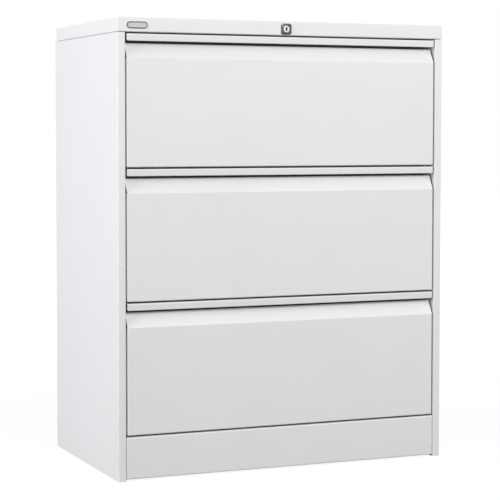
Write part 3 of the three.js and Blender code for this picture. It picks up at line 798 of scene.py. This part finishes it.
def rivet_head(bm, place, radius, rise, towards):
    """A flattened rivet head on a surface."""
    turn = Vector((0, 0, 1)).rotation_difference(towards).to_matrix().to_4x4()
    stretch = Matrix.Diagonal((radius * MM, radius * MM, rise * MM, 1))
    ball = bmesh.ops.create_uvsphere(bm, u_segments=RIVET_SIDES, v_segments=RIVET_RINGS, radius=1)["verts"]
    skin = list(dict.fromkeys(face for vert in ball for face in vert.link_faces))
    half = bmesh.ops.bisect_plane(
        bm, geom=parts_of(skin), dist=1e-6, plane_co=(0, 0, 0), plane_no=(0, 0, 1), clear_inner=True,
    )["geom"]
    bmesh.ops.edgeloop_fill(bm, edges=open_edges_in(half))
    bmesh.ops.transform(bm, verts=verts_in(half), matrix=Matrix.Translation(place) @ turn @ stretch)


def solid_box(bm, low, high):
    """A box between two corners, in millimetres."""
    made = bmesh.ops.create_cube(bm, size=1)["verts"]
    size = (high - low) * MM
    middle = front_foot + (low + high) / 2 * MM
    bmesh.ops.transform(bm, verts=made, matrix=Matrix.Translation(middle) @ Matrix.Diagonal((*size, 1)))


for row in ROWS:
    for end in ("front", "rear"):
        node = f"{row}_drawer_file_rail_{end}"
        bm = bmesh.new()
        solid_box(bm, *measure(node))
        finish_piece(bm, f"{row}_file_bar_{end}", zinc, f"{row}_drawer", [node], soft=RAIL_ROUND)

    node = f"{row}_drawer_lock_catch"
    low, high = measure(node)
    half_heavy = HEAVY_SHEET / 2
    shelf = low.z + CATCH_SHELF - half_heavy
    section = [
        (low.y + half_heavy, low.z), (low.y + half_heavy, shelf),
        (high.y - half_heavy, shelf), (high.y - half_heavy, high.z),
    ]
    bm = bmesh.new()
    fold_sheet(bm, "x", section, (low.x, high.x))
    finish_piece(bm, f"{row}_catch_bracket", zinc, f"{row}_drawer", [node], wall=HEAVY_SHEET)
    bm = bmesh.new()
    for side in (-1, 1):
        seat = spot("x", (low.y + HEAVY_SHEET, low.z + RIVET_UP), side * RIVET_X)
        rivet_head(bm, seat, RIVET, RIVET_RISE, ALONG["y"])
    finish_piece(bm, f"{row}_catch_rivets", zinc, f"{row}_drawer", soft=0)

# %% [markdown]
# ## Telescopic slides
# Each slide has three channels of rolled steel strip, one inside the next. The outer one stays on the
# cabinet, the inner one goes with the tray, and the middle one runs out half as far. Their sections are
# lists of bends, measured inwards from the side of the opening, and the folding helper sweeps each of
# them.

# %% Slides
SLIDE_SHEET = 1.2
SLIDE_UP = 100
SLIDE_SECTIONS = {
    "outer": [(10.9, 18.0), (10.9, 22.4), (0.9, 22.4), (0.9, -22.4), (10.9, -22.4), (10.9, -18.0)],
    "middle": [(9.0, 16.2), (3.0, 16.2), (3.0, -16.2), (9.0, -16.2)],
    "inner": [(5.2, 13.8), (12.5, 13.8), (12.5, -13.8), (5.2, -13.8)],
}
SLIDE_BODY = {"outer": "carcass", "middle": "{row}_slide_middles", "inner": "{row}_drawer"}
opening = min(abs(corner.x) for corner in measure("right_side_panel"))

for row in ROWS:
    for hand, side in HANDS:
        for member, section in SLIDE_SECTIONS.items():
            node = f"{row}_slide_{member}_{hand}"
            low, high = measure(node)
            line = [(side * (opening - inward), over) for inward, over in section]
            bm = bmesh.new()
            fold_sheet(bm, "y", line, (low.y, high.y), rise=row_foot[row] + SLIDE_UP, bend=SLIDE_SHEET)
            body = SLIDE_BODY[member].format(row=row)
            finish_piece(bm, f"{row}_{member}_channel_{hand}", zinc, body, [node], wall=SLIDE_SHEET)

# %% [markdown]
# ## Balls in the slides
# Steel balls in thin cages keep the outer and the middle channel apart, and here they ride on the middle
# one. There are many balls, so each is a sphere of only a few dozen faces. A cage is a flat strip with
# its balls in it.

# %% Balls and cages
BALL = 2.4
BALL_SIDES = 8
BALL_RINGS = 6
BALL_ROW = 19.3
BALL_INWARD = 6.0
BALL_COUNT = 9
BALL_PITCH = 22
CAGE_START = 240
CAGE_HALF = 2.1
CAGE_SHEET = 0.6

for row in ROWS:
    balls = bmesh.new()
    cages = bmesh.new()
    for side in (-1, 1):
        for over in (-BALL_ROW, BALL_ROW):
            x, z = side * (opening - BALL_INWARD), row_foot[row] + SLIDE_UP + over
            strip = [(x - CAGE_HALF, z), (x + CAGE_HALF, z)]
            reach = (CAGE_START - BALL_PITCH / 2, CAGE_START + BALL_PITCH * BALL_COUNT)
            fold_sheet(cages, "y", strip, reach)
            for ball in range(BALL_COUNT):
                seat = Matrix.Translation(spot("y", (x, z), CAGE_START + ball * BALL_PITCH))
                bmesh.ops.create_uvsphere(
                    balls, u_segments=BALL_SIDES, v_segments=BALL_RINGS, radius=BALL * MM, matrix=seat,
                )
    body = f"{row}_slide_middles"
    finish_piece(balls, f"{row}_slide_balls", nickel, body, soft=0)
    finish_piece(cages, f"{row}_ball_cages", zinc, body, wall=CAGE_SHEET, soft=0)

# %% [markdown]
# ## Rails and posts of the carcass
# Two cross rails tie the stiles together behind the gaps between the drawers, and a hat-shaped post on
# each side carries the rear ends of the slides. They are hidden until a drawer is pulled out. All are
# plain folds again.

# %% Cross rails and uprights
UPRIGHT_FLANGE = 20

for name in ("upper", "lower"):
    low, high = measure(f"{name}_cross_rail")
    near, foot, top = low.y + HALF_SHEET, low.z + HALF_SHEET, high.z - HALF_SHEET
    bm = bmesh.new()
    fold_sheet(bm, "x", [(high.y, foot), (near, foot), (near, top), (high.y, top)], (low.x, high.x))
    finish_piece(bm, f"{name}_tie_rail", paint, "carcass", [f"{name}_cross_rail"], wall=SHEET)

for hand, side in HANDS:
    low, high = measure(f"{hand}_upright")
    foot = side * (max(abs(low.x), abs(high.x)) - HEAVY_SHEET / 2)
    face = side * (min(abs(low.x), abs(high.x)) + HEAVY_SHEET / 2)
    near, far = low.y + UPRIGHT_FLANGE, high.y - UPRIGHT_FLANGE
    plan = [(foot, low.y), (foot, near), (face, near), (face, far), (foot, far), (foot, high.y)]
    bm = bmesh.new()
    fold_sheet(bm, "z", plan, (low.z, high.z))
    finish_piece(bm, f"{hand}_slide_post", paint, "carcass", [f"{hand}_upright"], wall=HEAVY_SHEET)

# %% [markdown]
# ## Loops and turned profiles
# The lock, the badge and the feet are small cast or turned pieces. Some start as a flat loop of points, a
# rectangle with round corners or a circle, which is then grown into walls. Others are a profile that is
# spun round an axis, as on a lathe.

# %% Loops and turned profiles
LOOP_POINTS = 32


def rounded_loop(bm, width, height, corner):
    """A flat loop of points: a rectangle with round corners."""
    made = bmesh.ops.create_grid(bm, x_segments=1, y_segments=1, size=0.5)["verts"]
    bmesh.ops.scale(bm, verts=made, vec=(width * MM, height * MM, 1))
    steps = LOOP_POINTS // 4 - 1
    bmesh.ops.bevel(
        bm, geom=made, offset=corner * MM, offset_type="OFFSET", segments=steps,
        profile=0.5, affect="VERTICES", material=-1,
    )
    plate = next(face for face in bm.faces if len(face.verts) == LOOP_POINTS)
    edges = list(plate.edges)
    bmesh.ops.delete(bm, geom=[plate], context="FACES_ONLY")
    return edges


def round_loop(bm, radius):
    """A flat loop of points: a circle."""
    made = bmesh.ops.create_circle(bm, segments=LOOP_POINTS, radius=radius * MM)["verts"]
    return list(dict.fromkeys(edge for vert in made for edge in vert.link_edges))


def spun(bm, profile, segments):
    """Turn a profile of radius and height round Z, from axis to axis or back to its start."""
    line = [bm.verts.new((radius * MM, 0, height * MM)) for radius, height in profile]
    edges = [bm.edges.new(pair) for pair in zip(line, line[1:])]
    bmesh.ops.spin(
        bm, geom=[*line, *edges], cent=(0, 0, 0), axis=(0, 0, 1), angle=2 * math.pi,
        steps=segments, use_merge=True,
    )
    bmesh.ops.remove_doubles(bm, verts=bm.verts, dist=1e-6)


def grow_loop(bm, edges, place):
    """Grow a strip from a loop, put its new points in their places, and return its far edge."""
    grown = bmesh.ops.extrude_edge_only(bm, edges=edges)["geom"]
    for vert in verts_in(grown):
        vert.co = place(vert.co)
    return open_edges_in(grown)


print("a loop has", LOOP_POINTS, "points")

# %% [markdown]
# ## The lock
# A square collar of dark chrome sits on the cap's front, and the rim of the barrel stands up in it. The
# collar's face falls away a little towards its edges. It could be a bevelled box with a hole cut
# through, but here it is grown loop by loop, from a rounded square to a circle with the same number of
# points, so that its faces stay even. All is drawn flat, then stood up.

# %% Lock collar and barrel
COLLAR_CORNER = 4.0
COLLAR_SLOPE = 2.6
COLLAR_FALL = 0.3
COLLAR_SOFT = 0.4
BARREL = 9.5
RING_RADIUS = 8.6
RING_PROUD = 0.5
RING_SIDES = 48
RING_SOFT = 0.25
LOCK_PLAY = 0.3

plug_low, plug_high = measure("lock_plug")
plug_radius = (plug_high.x - plug_low.x) / 2
stand_up = Matrix.Rotation(math.pi / 2, 4, "X")


def on_lock_axis(y):
    """The turn and place that put a flat drawing on the lock's axis, facing the front."""
    return Matrix.Translation(spot("x", (y, lock_centre.z), 0)) @ stand_up


def lay(bm, place):
    """Turn all faces outwards, and move a drawing to its place."""
    bmesh.ops.recalc_face_normals(bm, faces=bm.faces)
    bmesh.ops.transform(bm, verts=bm.verts, matrix=place)


def on_ring(point, height):
    """A point moved straight in or out to the barrel's rim, at a height."""
    return Vector((point.x, point.y, 0)).normalized() * RING_RADIUS * MM + Vector((0, 0, height * MM))


collar = lock_high.x - lock_low.x
collar_depth = -lock_low.y - LOCK_PLAY
edge_height = (collar_depth - COLLAR_FALL) * MM
shrink = 1 - 2 * COLLAR_SLOPE / collar
bm = bmesh.new()
back = rounded_loop(bm, collar, collar, COLLAR_CORNER)
grow_loop(bm, back, lambda point: on_ring(point, 0))
rim = grow_loop(bm, back, lambda point: Vector((point.x, point.y, edge_height)))
rim = grow_loop(bm, rim, lambda point: Vector((point.x * shrink, point.y * shrink, collar_depth * MM)))
rim = grow_loop(bm, rim, lambda point: on_ring(point, collar_depth))
grow_loop(bm, rim, lambda point: on_ring(point, 0))
bmesh.ops.remove_doubles(bm, verts=bm.verts, dist=1e-6)
lay(bm, on_lock_axis(-LOCK_PLAY))
finish_piece(bm, "lock_collar", dark_chrome, "carcass", ["lock_body"], soft=COLLAR_SOFT)

bm = bmesh.new()
bore = plug_radius + LOCK_PLAY
outside, proud, end = RING_RADIUS - LOCK_PLAY / 2, RING_PROUD - lock_low.y, -lock_high.y
ring = [(bore, proud), (outside, proud), (outside, 0), (BARREL, 0), (BARREL, end), (bore, end)]
spun(bm, [*ring, ring[0]], RING_SIDES)
lay(bm, on_lock_axis(0))
finish_piece(bm, "lock_barrel", dark_chrome, "carcass", soft=RING_SOFT)

# %% [markdown]
# ## The lock's core
# Inside the rim turns a bright nickel core with a slot for the key. Its face is bridged between a circle
# and the slot's rounded outline, and both loops are then grown backwards: the slot's for its dark walls,
# the circle's for the body of the core.

# %% Lock core
KEYHOLE = (3.8, 8.8)
KEYHOLE_ROUND = 1.6
KEYHOLE_END = 10.0
CORE_SOFT = 0.15


def drop_loop(bm, edges, depth):
    """Grow a wall down from a loop and close its far end."""
    grown = bmesh.ops.extrude_edge_only(bm, edges=edges)["geom"]
    bmesh.ops.translate(bm, verts=verts_in(grown), vec=(0, 0, -depth * MM))
    walls = [part for part in grown if isinstance(part, bmesh.types.BMFace)]
    return walls + bmesh.ops.edgeloop_fill(bm, edges=open_edges_in(grown))["faces"]


bm = bmesh.new()
rim = round_loop(bm, plug_radius)
keyhole = rounded_loop(bm, *KEYHOLE, KEYHOLE_ROUND)
bmesh.ops.bridge_loops(bm, edges=rim + keyhole)
# The keyhole's walls and floor take the painted shade.
for face in drop_loop(bm, keyhole, KEYHOLE_END - plug_low.y):
    face.material_index = 1
drop_loop(bm, rim, plug_high.y - plug_low.y)
lay(bm, on_lock_axis(plug_low.y))
finish_piece(
    bm, "lock_core_face", nickel, "lock_core", ["lock_plug"],
    soft=CORE_SOFT, extra=(keyhole_painted_shade,),
)

# %% [markdown]
# ## Lock rod
# A rod carries the key's turn to the back of the cabinet, where a pin on a disc moves the lock bar. Rod
# and disc are one turned profile, and the pin is a short bar beside their axis.

# %% Lock rod
ROD = 4.0
ROD_SIDES = 32
ROD_SOFT = 0.3
DISC_START = 438.0
DISC_END = 441.0
DISC_RIM = 2.0
PIN = 2.5
PIN_SIDES = 20

rod_low, rod_high = measure("lock_rod")
disc = rod_high.x
pin_off = (disc - PIN - DISC_RIM) * math.sqrt(0.5)
profile = [
    (0, -rod_low.y), (ROD, -rod_low.y), (ROD, -DISC_START),
    (disc, -DISC_START), (disc, -DISC_END), (0, -DISC_END),
]
bm = bmesh.new()
spun(bm, profile, ROD_SIDES)
pin_length = rod_high.y - DISC_END
pin_place = Matrix.Translation(Vector((pin_off, pin_off, -(DISC_END + rod_high.y) / 2)) * MM)
bmesh.ops.create_cone(
    bm, cap_ends=True, segments=PIN_SIDES, radius1=PIN * MM, radius2=PIN * MM,
    depth=pin_length * MM, matrix=pin_place,
)
lay(bm, on_lock_axis(0))
finish_piece(bm, "lock_rod_and_disc", zinc, "lock_core", ["lock_rod"], soft=ROD_SOFT)

# %% [markdown]
# ## Lock bar
# The bar is a flat strip that the pin moves down, with a hook for each drawer. Its window for the pin is
# cut by four planes, and the hooks are short folded sheets that start at the bar.

# %% Lock bar and hooks
BAR_SHEET = 2.0
PIN_PLAY = 0.5
HOOK_HALF = 11.5
HOOK_LENGTH = 12
HOOK_OVER_CATCH = 3

bar_low, bar_high = measure("lock_bar")
bm = bmesh.new()
bar_y = bar_high.y - BAR_SHEET / 2
fold_sheet(bm, "z", [(bar_low.x, bar_y), (bar_high.x, bar_y)], (bar_low.z, bar_high.z))
pin_z = lock_centre.z + pin_off
window = PIN + PIN_PLAY
left, far = pin_off - window, disc - PIN - DISC_RIM + window
for place, across in (
    (spot("x", (0, pin_z - window), 0), ALONG["z"]), (spot("x", (0, pin_z + window), 0), ALONG["z"]),
    (spot("x", (0, 0), left), ALONG["x"]), (spot("x", (0, 0), far), ALONG["x"]),
):
    bmesh.ops.bisect_plane(bm, geom=parts_of(bm.faces), dist=1e-6, plane_co=place, plane_no=across)
pin_at = spot("x", (bar_y, pin_z), (left + far) / 2)
middle_face = min(bm.faces, key=lambda face: (face.calc_center_median() - pin_at).length)
bmesh.ops.delete(bm, geom=[middle_face], context="FACES")
for row in ROWS:
    tip = measure(f"{row}_drawer_lock_catch")[1].z + HOOK_OVER_CATCH
    hook_y = bar_low.y + BAR_SHEET / 2
    line = [(bar_y, tip + HOOK_LENGTH), (hook_y, tip + HOOK_LENGTH), (hook_y, tip)]
    fold_sheet(bm, "x", line, (-HOOK_HALF, HOOK_HALF))
finish_piece(bm, "lock_bar_and_hooks", zinc, "lock_bar", ["lock_bar"], wall=BAR_SHEET)

# %% [markdown]
# ## Lock bar guide
# The bar runs in a channel on the back panel, whose two lips hold it. It is one more mirrored fold, in
# the thinner strip of the slides.

# %% Lock bar guide
GUIDE_LIP = 2.5

low, high = measure("lock_bar_channel")
half_gauge = SLIDE_SHEET / 2
lip_y, web_y, wall = low.y + half_gauge, high.y - half_gauge, high.x - half_gauge
bm = bmesh.new()
half_plan = [(bar_high.x - GUIDE_LIP, lip_y), (wall, lip_y), (wall, web_y)]
fold_sheet(bm, "z", mirrored(half_plan), (low.z, high.z))
finish_piece(bm, "lock_bar_guide", zinc, "carcass", ["lock_bar_channel"], wall=SLIDE_SHEET)

# %% [markdown]
# ## The badge
# A small capsule plate sits at the left of the cap's front: a dark raised rim round a plain pale field.
# The capsule is a rectangle whose corners are bevelled to half its height, and insetting that one face
# gives the rim its width.

# %% Badge
BADGE_RIM = 2.2
BADGE_END = 1.0
BADGE_SUNK = 0.4

low, high = measure("badge_plate")
width, tall, thick = high.x - low.x, high.z - low.z, high.y - low.y
bm = bmesh.new()
outline = rounded_loop(bm, width, tall, (tall - BADGE_END) / 2)
field = bmesh.ops.edgeloop_fill(bm, edges=outline)["faces"][0]
bmesh.ops.inset_individual(bm, faces=[field], thickness=BADGE_RIM * MM)
field.material_index = 1
bmesh.ops.inset_individual(bm, faces=[field], thickness=BADGE_SUNK * MM)
bmesh.ops.translate(bm, verts=field.verts, vec=(0, 0, -BADGE_SUNK * MM))
drop_loop(bm, [edge for edge in bm.edges if edge.is_boundary], thick)
badge_place = spot("x", (low.y, (low.z + high.z) / 2), (low.x + high.x) / 2)
lay(bm, Matrix.Translation(badge_place) @ stand_up)
finish_piece(bm, "badge_capsule", badge_enamel, "carcass", ["badge_plate"], extra=(badge_satin,))

# %% [markdown]
# ## Levelling feet
# Under each corner of the base a foot screws up or down: a nylon pad moulded on a hexagon and a threaded
# stud. Pad and stud are profiles spun round the foot's axis. The thread is drawn as rings instead of a
# helix, because at this size the eye cannot tell, and rings close on themselves.

# %% Levelling feet
PAD = [(0, 0), (14.6, 0), (16, 1.2), (16, 4.6), (14.8, 6), (0, 6)]
HEX_CORNER = 7.5
HEX_SPAN = (5.0, 12.0)
STUD = 4.0
STUD_SUNK = 1.0
STUD_SIDES = 20
PAD_SIDES = 40
THREAD_PITCH = 1.25
THREAD_DEPTH = 0.6


def stud_profile(foot, top):
    """The saw-tooth outline of a threaded stud."""
    turns = int((top - foot) / THREAD_PITCH)
    teeth = [(0, foot), (STUD - THREAD_DEPTH, foot)]
    for turn in range(turns):
        teeth.append((STUD, foot + (turn + 0.5) * THREAD_PITCH))
        teeth.append((STUD - THREAD_DEPTH, foot + (turn + 1) * THREAD_PITCH))
    return [*teeth, (STUD - THREAD_DEPTH, top), (0, top)]


for end in ("front", "rear"):
    for hand in ("left", "right"):
        node = f"foot_{end}_{hand}"
        low, high = measure(node)
        place = front_foot + Vector(((low.x + high.x) / 2, (low.y + high.y) / 2, 0)) * MM
        bm = bmesh.new()
        spun(bm, stud_profile(HEX_SPAN[1] - STUD_SUNK, high.z), STUD_SIDES)
        hex_depth = HEX_SPAN[1] - HEX_SPAN[0]
        bmesh.ops.create_cone(
            bm, cap_ends=True, segments=6, radius1=HEX_CORNER * MM, radius2=HEX_CORNER * MM,
            depth=hex_depth * MM, matrix=Matrix.Translation((0, 0, sum(HEX_SPAN) / 2 * MM)),
        )
        for face in bm.faces:
            face.material_index = 1
        spun(bm, PAD, PAD_SIDES)
        lay(bm, Matrix.Translation(place))
        finish_piece(bm, f"levelling_{node}", nylon, node, [node], soft=0, extra=(zinc,))

# %% [markdown]
# ## The nodes that stay
# The base pan, the nut behind the lock and the bracket of its rod are hidden inside the cabinet, and
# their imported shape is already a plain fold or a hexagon. They only take the finish that the record
# names for them.

# %% Finishes for the nodes that stay
kept = 0
for part in frame["record"]["subparts"]:
    node = frame["nodes"][part["node"]]
    if not node.hide_render:
        node.data.materials.clear()
        node.data.materials.append(finishes[part["material_slot"]])
        kept += 1
print(kept, "packed nodes keep their shape")
